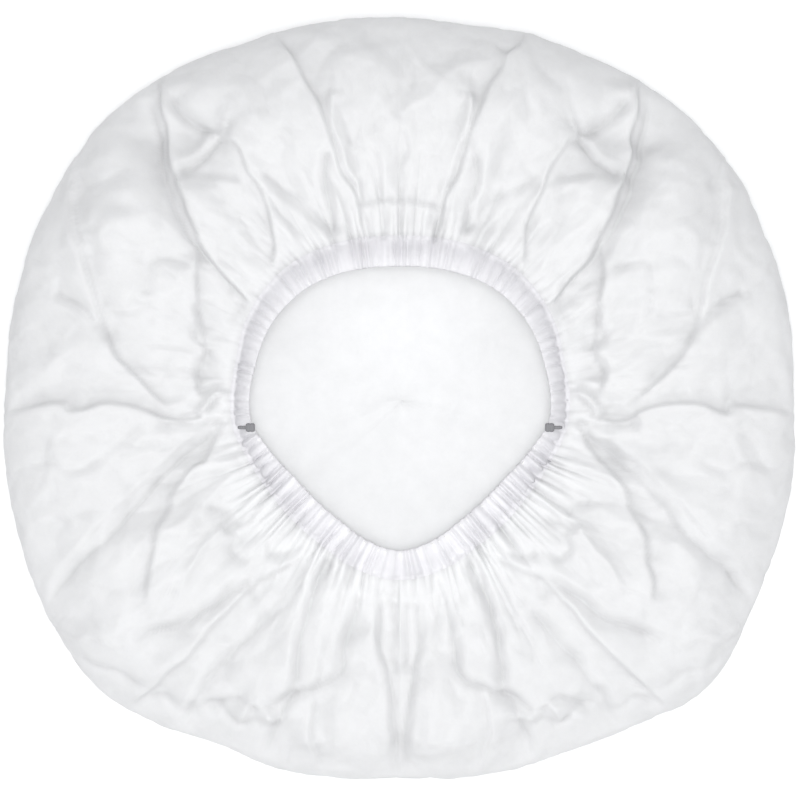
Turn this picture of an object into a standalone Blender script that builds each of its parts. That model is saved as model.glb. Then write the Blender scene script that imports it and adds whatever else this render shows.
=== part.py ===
"""A disposable hair cover cap: a round of spunbond nonwoven gathered on an elastic.

It lies on its crown with the mouth up. Metres, +Z up, +Y towards the round side of the mouth and -Y towards
its pointed side. The left half mirrors the right half.
"""

import math

import bmesh
import bpy
import numpy as np

# Size of the puffed cap as it lies
CAP_WIDTH = 0.290
CAP_LENGTH = 0.282
CAP_HEIGHT = 0.050

# Mouth, measured at the folded edge of the hem
MOUTH_WIDTH = 0.109
MOUTH_LENGTH = 0.103
MOUTH_SHIFT = -0.0055  # how far its middle lies from the cap's middle, along Y

# Cloth, and what is held in the hem
CLOTH = 0.001
ELASTIC_WIDTH = 0.0035
ELASTIC_THICKNESS = 0.001
SEAM_WIDTH = 0.0045  # the part of the hem that is sewn down on the crown's edge
SEAM_CLEARANCE = 0.0014  # how far the crown runs on straight past the hem before it turns
GAP = 0.0003

# Gathers and folds
PLEATS = 96  # an even number
PLEAT_DEPTH = 0.0014
GATHER_HEIGHT = 0.002
FOLD_HEIGHT = 0.006

# Ends of the elastic, joined at each side of the mouth
JOINT_WIDTH = 0.0033
JOINT_THICKNESS = 0.0020
JOINT_BEVEL = 0.0005
STUB_LENGTH = 0.0030
STUB_WIDTH = 0.0012
JOINT_DEG = -4.0

# Outline seen from above, right half: degrees from +X, and reach as a share of half the width and length
OUTLINE = (
    # degrees, share
    (-90, 0.985),
    (-75, 1.005),
    (-60, 1.015),
    (-44, 1.075),
    (-30, 1.045),
    (-14, 1.018),
    (0, 1.000),
    (20, 1.017),
    (42, 1.042),
    (56, 1.020),
    (72, 1.000),
    (90, 1.000),
)

# Folded edge of the hem, right half: degrees round the mouth's middle, reach as a share of half the mouth's
# width and length, share of the hem's width that is seen from above, and dip as a share of the cap's height
MOUTH = (
    # degrees, share, seen, dip
    (-90, 0.950, 0.92, 0.00),
    (-75, 0.900, 0.94, 0.00),
    (-60, 0.835, 0.94, 0.01),
    (-35, 0.820, 0.88, 0.03),
    (-16, 0.900, 0.70, 0.04),
    (-4, 0.985, 0.56, 0.05),
    (6, 1.010, 0.54, 0.05),
    (20, 1.025, 0.58, 0.04),
    (36, 1.065, 0.74, 0.02),
    (55, 1.085, 0.88, 0.01),
    (75, 1.060, 0.94, 0.00),
    (90, 1.045, 0.94, 0.00),
)

# Folds of the right half, from the front round to the back. Each runs through three angles, from the hem
# over the middle of the top to the rim, and rises or sinks by these shares of the fold height
FOLDS = (
    # name, at hem, at middle, at rim, rise near, rise middle, rise far, rise at rim
    ("front_valley", -90, -90, -90, -0.50, -0.80, -0.60, -0.30),
    ("front_ridge", -84, -84, -84, 0.45, 0.70, 0.50, 0.15),
    ("front_side", -75, -76, -76, -0.30, -0.50, -0.50, -0.20),
    ("front_swell", -67, -69, -69, 0.40, 0.60, 0.40, 0.10),
    ("corner_hollow", -59, -60, -59, -0.30, -0.50, -0.40, -0.15),
    ("corner_ridge", -52, -51, -50, 0.20, 0.60, 0.50, 0.25),
    ("corner_crease", -44, -45, -43, -0.20, -0.50, -0.50, -0.25),
    ("sweep_valley", -34, -32, -36, -0.50, -1.00, -0.60, -0.10),
    ("sweep_ridge", -24, -22, -28, 0.50, 1.00, 0.60, 0.15),
    ("side_swell", -13, -11, -14, 0.30, 0.40, 0.40, 0.10),
    ("side_crease", -2, -1, -1, -0.90, -0.90, -0.60, -0.25),
    ("side_ridge", 8, 9, 16, 0.40, 0.60, 0.35, 0.10),
    ("side_fold", 17, 20, 33, -0.40, -0.60, -0.50, -0.20),
    ("petal_low_ridge", 26, 30, 42, 0.30, 0.60, 0.30, 0.15),
    ("petal_crease", 35, 40, 50, -0.60, -1.00, -0.90, -0.30),
    ("petal_ridge", 45, 51, 57, 0.50, 0.80, 0.40, 0.10),
    ("back_hollow", 58, 61, 64, -0.40, -0.50, -0.40, -0.20),
    ("back_ridge", 70, 74, 72, 0.50, 0.80, 0.50, 0.15),
    ("back_valley", 78, 79, 79, -0.30, -0.40, -0.40, -0.20),
    ("back_panel", 90, 90, 90, 0.10, 0.20, 0.20, 0.05),
)
FOLD_REACH = (0.12, 0.45, 0.80, 1.00)  # where the four rises of a fold are measured
FOLD_MIDDLE = 0.45  # where the angle at the middle is measured
ROOT_FADE = 1.5  # power at which the hem's dips fade out towards the rim
RIM_TURN = 6  # power at which a fold turns from standing up to standing out sideways

# Top of the crown from the hem to the rim: share of the way out and share of the height
TOP = (
    # name, reach, level
    ("gather_end", 0.10, 0.86),
    ("gather_foot", 0.22, 0.84),
    ("inner_shoulder", 0.38, 0.87),
    ("shoulder", 0.55, 0.87),
    ("brow", 0.72, 0.81),
    ("upper_rim", 0.87, 0.69),
    ("high_rim", 0.96, 0.55),
    ("rim", 1.00, 0.38),
)

# Underside from the rim to the flattened sole: share of the rim's radius, share of the height, and share
# of the rim's folds that is left
UNDERSIDE = (
    # name, share, level, fold
    ("low_rim", 0.975, 0.20, 0.60),
    ("chine", 0.925, 0.065, 0.20),
    ("sole_edge", 0.850, 0.0, 0.0),
    ("sole", 0.450, 0.0, 0.0),
)

# Wider gathers that fade away from the hem: lobes round the mouth, share of the gather height, and the
# share of the way out at which a third is left
GATHERS = (
    # lobes, share, fade
    (24, 0.60, 0.22),
    (15, 0.40, 0.40),
)

HALF_CHANNEL = max(ELASTIC_THICKNESS, CLOTH) / 2 + GAP  # half the room between the legs of the hem
EDGE_REACH = 2 * CLOTH + GAP + ELASTIC_WIDTH + GAP  # from the folded edge to the crown's raw edge
HEM_WIDTH = EDGE_REACH + SEAM_WIDTH
COLUMNS = 2 * PLEATS


def read_row(table, degrees, column):
    """A table's value at an angle of the right half, on a smooth curve that is level at both ends."""
    angles = [math.radians(row[0]) for row in table]
    values = [row[column] for row in table]
    here = math.radians(degrees)
    slopes = [0.0] * len(table)
    for k in range(1, len(table) - 1):
        slopes[k] = (values[k + 1] - values[k - 1]) / (angles[k + 1] - angles[k - 1])
    k = 0
    while k < len(table) - 2 and here > angles[k + 1]:
        k += 1
    span = angles[k + 1] - angles[k]
    t = min(max((here - angles[k]) / span, 0.0), 1.0)
    rise = (2 * t**3 - 3 * t**2 + 1) * values[k] + (3 * t**2 - 2 * t**3) * values[k + 1]
    return rise + span * ((t**3 - 2 * t**2 + t) * slopes[k] + (t**3 - t**2) * slopes[k + 1])


def fold_columns():
    """One row for each column: side (1 right, -1 left), angles at hem, middle and rim, and four rises."""
    half = PLEATS // 2
    place = []
    for k, row in enumerate(FOLDS):
        wanted = round(half * (row[3] + 90) / 180)
        place.append(wanted if k == 0 else max(wanted, place[-1] + 1))
    place[-1] = half
    values = np.array([row[1:] for row in FOLDS], float)
    steps = np.arange(2 * half + 1) / 2
    right = np.stack([np.interp(steps, place, values[:, k]) for k in range(values.shape[1])], axis=1)
    ring = [(1, row) for row in right]
    ring += [(-1, row) for row in right[-2:0:-1]]
    return ring


def outline_point(side, degrees):
    share = read_row(OUTLINE, degrees, 1)
    angle = math.radians(degrees)
    across = side * share * CAP_WIDTH / 2 * math.cos(angle)
    return np.array([across, share * CAP_LENGTH / 2 * math.sin(angle)])


def mouth_point(degrees):
    """Plan of the folded edge on the right half."""
    share = read_row(MOUTH, degrees, 1)
    angle = math.radians(degrees)
    along = MOUTH_SHIFT + share * MOUTH_LENGTH / 2 * math.sin(angle)
    return np.array([share * MOUTH_WIDTH / 2 * math.cos(angle), along])


def pleat_stretch():
    """How much thicker than the cloth a pleated wall measures across the pleats."""
    pitch = math.pi * (MOUTH_WIDTH + MOUTH_LENGTH) / 2 / PLEATS
    return math.hypot(1.0, 2 * PLEAT_DEPTH / pitch)


def hem_frame(side, degrees, column):
    """Edge point, direction out along the hem and direction up through it, of one column."""
    step = 0.5  # degrees on each side of the column, to find how the edge runs
    if abs(degrees) > 90 - step:
        run = np.array([-math.copysign(1.0, degrees), 0.0])
    else:
        run = mouth_point(degrees + step) - mouth_point(degrees - step)
        run /= np.linalg.norm(run)
    seen = read_row(MOUTH, degrees, 2)
    drop = math.sqrt(1 - seen**2)
    out = np.array([side * run[1] * seen, -run[0] * seen, -drop])
    up = np.array([side * run[1] * drop, -run[0] * drop, seen])
    top = CAP_HEIGHT - HALF_CHANNEL - CLOTH * pleat_stretch() - PLEAT_DEPTH / 2
    edge = np.append(mouth_point(degrees), top - read_row(MOUTH, degrees, 3) * CAP_HEIGHT)
    edge[0] *= side
    pleat = PLEAT_DEPTH / 2 * (1 if column % 2 else -1)
    return edge + pleat * up, out, up


def hem_place(frame, reach, lift):
    edge, out, up = frame
    return edge + reach * out + lift * up


def crown_point(frame, side, row, reach, level, column):
    """A point of the crown's middle surface between the hem and the rim."""
    at_middle, at_rim = row[1], row[2]
    root = hem_place(frame, HEM_WIDTH + SEAM_CLEARANCE, 0.0)
    start = math.degrees(math.atan2(root[1], side * root[0]))
    middle_share = min(reach / FOLD_MIDDLE, 1.0)
    outer_share = max((reach - FOLD_MIDDLE) / (1 - FOLD_MIDDLE), 0.0)
    degrees = start + (at_middle - start) * middle_share + (at_rim - at_middle) * outer_share
    hub = np.hypot(root[0], root[1])
    rim = np.linalg.norm(outline_point(side, degrees))
    radius = hub + (rim - hub) * reach
    angle = math.radians(degrees)
    height = CAP_HEIGHT * level + (root[2] - CAP_HEIGHT * TOP[0][2]) * (1 - reach) ** ROOT_FADE
    ripple = 0.0
    round_mouth = math.radians(row[0] + 90)
    for lobes, share, fade in GATHERS:
        ripple += share * GATHER_HEIGHT * math.cos(lobes * round_mouth) * math.exp(-reach / fade)
    rise = FOLD_HEIGHT * np.interp(reach, FOLD_REACH, row[3:7]) + ripple
    upright = 1 - reach**RIM_TURN
    radius += rise * (1 - upright)
    height += rise * upright
    point = np.array([side * radius * math.cos(angle), radius * math.sin(angle), height])
    if reach > TOP[0][1]:
        return point
    lean = frame[2] + np.array([0.0, 0.0, 1.0])
    return point + PLEAT_DEPTH / 2 * (1 if column % 2 else -1) * lean / np.linalg.norm(lean)


def plan_middle(columns, frames):
    """Y of the middle of the rim, which becomes the part's origin."""
    _, reach, level = TOP[-1]
    rim = [crown_point(frames[k], *columns[k], reach, level, k)[1] for k in range(0, COLUMNS, 2)]
    return (min(rim) + max(rim)) / 2


def underside_point(side, row, share, level, fold):
    rim = outline_point(side, row[2])
    radius = np.linalg.norm(rim)
    spread = share * radius + fold * FOLD_HEIGHT * row[6]
    height = max(CAP_HEIGHT * level, CLOTH / 2)
    return np.append(rim / radius * spread, height)


def ring_triangles(outer, inner, size):
    """Triangles between two rings of indices, where the second may have half as many points."""
    triangles = []
    if len(outer) == 2 * len(inner):
        for k in range(len(inner)):
            a, b, c = outer[2 * k], outer[2 * k + 1], outer[(2 * k + 2) % size]
            d, e = inner[k], inner[(k + 1) % len(inner)]
            triangles += [(a, d, b), (b, d, e), (b, e, c)]
        return triangles
    count = len(outer)
    for k in range(count):
        a, b = outer[k], outer[(k + 1) % count]
        d, e = inner[k], inner[(k + 1) % count]
        if k < count / 2:
            triangles += [(a, d, e), (a, e, b)]
        else:
            triangles += [(a, d, b), (b, d, e)]
    return triangles


def even_normals(points, triangles):
    """Vertex normals, made longer on creases so that an offset keeps the wall's thickness."""
    corners = points[triangles]
    flat = np.cross(corners[:, 1] - corners[:, 0], corners[:, 2] - corners[:, 0])
    area = np.linalg.norm(flat, axis=1, keepdims=True)
    unit = flat / area
    total = np.zeros_like(points)
    for k in range(3):
        np.add.at(total, triangles[:, k], flat)
    normals = total / np.linalg.norm(total, axis=1, keepdims=True)
    facing = np.zeros(len(points))
    weight = np.zeros(len(points))
    for k in range(3):
        dots = np.sum(normals[triangles[:, k]] * unit, axis=1)
        np.add.at(facing, triangles[:, k], dots * area[:, 0])
        np.add.at(weight, triangles[:, k], area[:, 0])
    steepest = 0.75  # keeps an offset at a very sharp crease from shooting out
    return normals / np.maximum(facing / weight, steepest)[:, None]


def add_object(name, points, faces, colour, roughness, smooth_deg):
    mesh = bpy.data.meshes.new(name)
    mesh.from_pydata([tuple(p) for p in points], [], [tuple(int(i) for i in f) for f in faces])
    mesh.validate()
    built = bmesh.new()
    built.from_mesh(mesh)
    bmesh.ops.recalc_face_normals(built, faces=built.faces)
    built.to_mesh(mesh)
    built.free()
    mesh.shade_smooth()
    mesh.set_sharp_from_angle(angle=math.radians(smooth_deg))
    thing = bpy.data.objects.new(name, mesh)
    bpy.context.scene.collection.objects.link(thing)
    thing.data.materials.append(plain_material(name, colour, roughness))
    return thing


def plain_material(name, colour, roughness):
    material = bpy.data.materials.new(name)
    material.use_nodes = True
    shader = material.node_tree.nodes["Principled BSDF"]
    shader.inputs["Base Color"].default_value = (*colour, 1.0)
    shader.inputs["Roughness"].default_value = roughness
    shader.inputs["Metallic"].default_value = 0.0
    return material


def make_crown(columns, frames, middle):
    """A thin shell from the raw edge in the hem over the shoulder, rim and underside to the sole."""
    rings = []
    seam_start = [hem_place(frame, EDGE_REACH, 0.0) for frame in frames]
    seam_end = [hem_place(frame, HEM_WIDTH + SEAM_CLEARANCE, 0.0) for frame in frames]
    rings += [seam_start, seam_end]
    for k, (_, reach, level) in enumerate(TOP):
        step = 1 if k == 0 else 2
        ring = []
        for column in range(0, COLUMNS, step):
            side, row = columns[column]
            ring.append(crown_point(frames[column], side, row, reach, level, column))
        rings.append(ring)
    for k, (_, share, level, fold) in enumerate(UNDERSIDE):
        step = 4 if k == len(UNDERSIDE) - 1 else 2
        rings.append([underside_point(*columns[c], share, level, fold) for c in range(0, COLUMNS, step)])
    points = np.array([point for ring in rings for point in ring])
    points = np.vstack([points, [0.0, middle, CLOTH / 2]])

    indices = []
    first = 0
    for ring in rings:
        indices.append(list(range(first, first + len(ring))))
        first += len(ring)
    triangles = []
    for outer, inner in zip(indices, indices[1:]):
        triangles += ring_triangles(outer, inner, len(outer))
    centre, last = len(points) - 1, indices[-1]
    triangles += [(last[k], centre, last[(k + 1) % len(last)]) for k in range(len(last))]
    triangles = np.array(triangles)

    offsets = even_normals(points, triangles)
    ups = np.array([up for _, _, up in frames])
    for ring in indices[:2]:
        offsets[ring] = ups * pleat_stretch() * np.sign(offsets[ring[0]] @ ups[0])
    sole = points[:, 2] <= CLOTH / 2
    offsets[sole] = (0.0, 0.0, math.copysign(1.0, offsets[centre][2]))

    shell = np.vstack([points + offsets * CLOTH / 2, points - offsets * CLOTH / 2])
    shell[:, 1] -= middle
    count = len(points)
    faces = [tuple(t) for t in triangles]
    faces += [(c + count, b + count, a + count) for a, b, c in triangles]
    edge = indices[0]
    for k in range(len(edge)):
        a, b = edge[k], edge[(k + 1) % len(edge)]
        faces += [(a, b, b + count), (a, b + count, a + count)]
    return add_object("crown", shell, faces, (0.86, 0.87, 0.89), 0.75, 25)


def make_ring(name, frames, section, middle, colour, roughness, smooth_deg):
    """A closed ring with one section, given as reach and lift, in the hem's frames."""
    points = np.array([hem_place(frame, *corner) for frame in frames for corner in section])
    points[:, 1] -= middle
    corners, count = len(section), len(frames)
    faces = []
    for k in range(count):
        after = (k + 1) % count
        for j in range(corners):
            beside = (j + 1) % corners
            a, b = k * corners + j, k * corners + beside
            c, d = after * corners + beside, after * corners + j
            outward = section[beside][0] > section[j][0]
            if (k < count / 2) == outward:
                faces += [(a, b, c), (a, c, d)]
            else:
                faces += [(a, b, d), (b, c, d)]
    return add_object(name, points, faces, colour, roughness, smooth_deg)


def casing_section():
    """The hem's section as reach and lift, from the end of its upper leg round the fold and back."""
    high = HALF_CHANNEL + CLOTH * pleat_stretch()
    return (
        (HEM_WIDTH, high),
        (CLOTH, high),
        (0.0, 0.0),
        (CLOTH, -high),
        (HEM_WIDTH, -high),
        (HEM_WIDTH, -HALF_CHANNEL),
        (2 * CLOTH, -HALF_CHANNEL),
        (2 * CLOTH, HALF_CHANNEL),
        (HEM_WIDTH, HALF_CHANNEL),
    )


def make_casing(frames, middle):
    """The hem: cloth folded round the elastic, with a leg on each side of the crown's edge."""
    return make_ring("hem_casing", frames, casing_section(), middle, (0.84, 0.85, 0.87), 0.75, 40)


def make_elastic(frames, middle):
    """The elastic, in the folded part of the hem."""
    near, far = 2 * CLOTH + GAP, 2 * CLOTH + GAP + ELASTIC_WIDTH
    half = ELASTIC_THICKNESS / 2
    section = ((far, half), (near, half), (near, -half), (far, -half))
    return make_ring("elastic_band", frames, section, middle, (0.80, 0.80, 0.79), 0.6, 40)


def joint_seat(side, frames):
    """Point on top of the hem's fold, above every pleat that the joint covers."""
    edge = hem_frame(side, JOINT_DEG, 1)[0]
    near = [frame for frame in frames if math.dist(frame[0][:2], edge[:2]) < JOINT_WIDTH]
    tops = [hem_place(frame, *corner)[2] for frame in near for corner in casing_section()]
    return np.array([edge[0], edge[1], max(tops) + GAP])


def make_joint(name, side, frames, middle):
    """Where the elastic's ends are joined: a small block on the hem's fold with a stub that points out."""
    block = bmesh.new()
    bmesh.ops.create_cube(block, size=1.0)
    bmesh.ops.scale(block, vec=(JOINT_WIDTH, JOINT_WIDTH, JOINT_THICKNESS), verts=block.verts)
    face = max(block.faces, key=lambda f: side * f.calc_center_median().x)
    bmesh.ops.bevel(
        block, geom=[e for e in block.edges if face not in e.link_faces], offset=JOINT_BEVEL, segments=2,
        affect="EDGES", clamp_overlap=True,
    )
    face = max(block.faces, key=lambda f: side * f.calc_center_median().x)
    bmesh.ops.inset_region(block, faces=[face], thickness=(JOINT_THICKNESS - STUB_WIDTH) / 2)
    grown = bmesh.ops.extrude_face_region(block, geom=[face])
    moved = [v for v in grown["geom"] if isinstance(v, bmesh.types.BMVert)]
    bmesh.ops.delete(block, geom=[face], context="FACES_ONLY")
    root = face_middle(moved)
    for vertex in moved:
        vertex.co.x += side * STUB_LENGTH
        vertex.co.y = root[1] + (vertex.co.y - root[1]) * STUB_WIDTH / (JOINT_WIDTH / 2)
    seat = joint_seat(side, frames)
    place = (seat[0], seat[1] - middle, seat[2] + JOINT_THICKNESS / 2)
    bmesh.ops.translate(block, vec=place, verts=block.verts)
    bmesh.ops.triangulate(block, faces=block.faces)
    points = [tuple(v.co) for v in block.verts]
    block.verts.index_update()
    faces = [tuple(v.index for v in f.verts) for f in block.faces]
    block.free()
    return add_object(name, points, faces, (0.16, 0.16, 0.17), 0.55, 35)


def face_middle(vertices):
    return np.mean([tuple(v.co) for v in vertices], axis=0)


def main():
    for thing in list(bpy.data.objects):
        bpy.data.objects.remove(thing, do_unlink=True)
    columns = fold_columns()
    frames = [hem_frame(side, row[0], k) for k, (side, row) in enumerate(columns)]
    middle = plan_middle(columns, frames)
    make_crown(columns, frames, middle)
    make_casing(frames, middle)
    make_elastic(frames, middle)
    make_joint("elastic_joint_right", 1, frames, middle)
    make_joint("elastic_joint_left", -1, frames, middle)


main()
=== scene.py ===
"""Looks of the disposable hair cover cap: nonwoven cloth, pleated hem, elastic and its joined ends.

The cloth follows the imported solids' outline, mouth and section, and adds the creases, gathers and
crumple that the photograph shows. Metres, +Z up, +Y up in the photograph.
"""

import math

import bpy
import numpy as np
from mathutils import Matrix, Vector


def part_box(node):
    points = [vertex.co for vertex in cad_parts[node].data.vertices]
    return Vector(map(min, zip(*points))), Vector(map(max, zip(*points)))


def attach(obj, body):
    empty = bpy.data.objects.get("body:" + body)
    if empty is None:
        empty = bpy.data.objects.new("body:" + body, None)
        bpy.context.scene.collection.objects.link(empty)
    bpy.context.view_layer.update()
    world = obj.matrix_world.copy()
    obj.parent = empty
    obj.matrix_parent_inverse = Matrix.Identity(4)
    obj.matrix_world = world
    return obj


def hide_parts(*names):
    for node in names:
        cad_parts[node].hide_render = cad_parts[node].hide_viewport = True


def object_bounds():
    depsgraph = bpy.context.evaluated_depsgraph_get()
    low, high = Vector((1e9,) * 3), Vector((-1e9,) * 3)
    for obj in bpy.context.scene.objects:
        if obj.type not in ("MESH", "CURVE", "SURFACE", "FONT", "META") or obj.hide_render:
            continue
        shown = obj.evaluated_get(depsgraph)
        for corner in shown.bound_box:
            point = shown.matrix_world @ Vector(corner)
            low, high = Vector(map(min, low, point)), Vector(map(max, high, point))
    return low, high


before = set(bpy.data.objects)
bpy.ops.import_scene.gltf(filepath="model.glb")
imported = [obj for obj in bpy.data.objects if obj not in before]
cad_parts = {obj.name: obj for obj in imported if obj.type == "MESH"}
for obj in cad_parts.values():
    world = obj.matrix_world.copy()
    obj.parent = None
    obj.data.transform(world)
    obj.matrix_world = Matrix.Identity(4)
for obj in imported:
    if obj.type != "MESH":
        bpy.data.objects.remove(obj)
CAD_LOW, CAD_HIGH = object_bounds()

# Sizes read from the frame
CAP_WIDTH = CAD_HIGH.x - CAD_LOW.x
CAP_LENGTH = CAD_HIGH.y - CAD_LOW.y
CAP_HEIGHT = CAD_HIGH.z

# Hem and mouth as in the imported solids, the cloth's thickness, its least height over the surface
# it lies on, and its radius when it lies flat without the hem
HEM_WIDTH = 0.0106
MOUTH_WIDTH = 0.109
MOUTH_LENGTH = 0.103
MOUTH_SHIFT = -0.0055
CLOTH = 0.00016
CLOTH_REST = CLOTH / 2 + 0.00002
FLAT_RADIUS = 0.265 - HEM_WIDTH

# The photograph: its frame, the cap's middle in it and the cap's width in it
PHOTO_SIDE = 800
PHOTO_MIDDLE = (399.5, 400.0)
PHOTO_WIDTH = 789.0
PIXEL = CAP_WIDTH / PHOTO_WIDTH

# Pleats of the hem round the whole mouth
PLEATS = 96

# Cloth simulation that lets the folded cloth buckle: its mesh, how many frames it runs, how firmly
# the free cloth is held, how much too large the cloth is at the hem and the rim, and how much of
# the creases it starts with
SIM_COLUMNS = 480
SIM_ROWS = 72
SIM_SOLE_ROWS = 14
SIM_FRAMES = 14
SIM_HOLD = 0.02
SIM_GROWTH_HEM = 0.06
SIM_GROWTH_RIM = 0.008
SIM_CREASES = 0.5

OUTLINE = (
    # degrees, share of half the width and length
    (-90, 0.985),
    (-75, 1.005),
    (-60, 1.015),
    (-44, 1.075),
    (-30, 1.045),
    (-14, 1.018),
    (0, 1.000),
    (20, 1.017),
    (42, 1.042),
    (56, 1.020),
    (72, 1.000),
    (90, 1.000),
)

MOUTH = (
    # degrees, share of half the mouth's size, share of the hem's width that shows, dip of the edge
    # as a share of the cap's height
    (-90, 0.950, 0.92, 0.00),
    (-75, 0.900, 0.94, 0.00),
    (-60, 0.835, 0.94, 0.01),
    (-35, 0.820, 0.88, 0.03),
    (-16, 0.900, 0.70, 0.04),
    (-4, 0.985, 0.56, 0.05),
    (6, 1.010, 0.54, 0.05),
    (20, 1.025, 0.58, 0.04),
    (36, 1.065, 0.74, 0.02),
    (55, 1.085, 0.88, 0.01),
    (75, 1.060, 0.94, 0.00),
    (90, 1.045, 0.94, 0.00),
)

# Meridian from the hem over the rim to the middle of the sole
MERIDIAN = (
    # place, share of the hem's radius, share of the rim's radius, share of the height
    (0.00, 1.00, 0.00, 0.870),
    (0.10, 0.90, 0.10, 0.860),
    (0.22, 0.78, 0.22, 0.850),
    (0.38, 0.62, 0.38, 0.870),
    (0.55, 0.45, 0.55, 0.870),
    (0.72, 0.28, 0.72, 0.815),
    (0.87, 0.13, 0.87, 0.690),
    (0.96, 0.04, 0.96, 0.545),
    (1.05, 0.00, 1.00, 0.380),
    (1.14, 0.00, 0.98, 0.200),
    (1.23, 0.00, 0.93, 0.065),
    (1.34, 0.00, 0.85, 0.004),
    (1.50, 0.00, 0.70, 0.004),
    (2.20, 0.00, 0.00, 0.004),
)
RIM_PLACE = 1.05
SOLE_PLACE = 1.34
LAST_PLACE = 2.20

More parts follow.
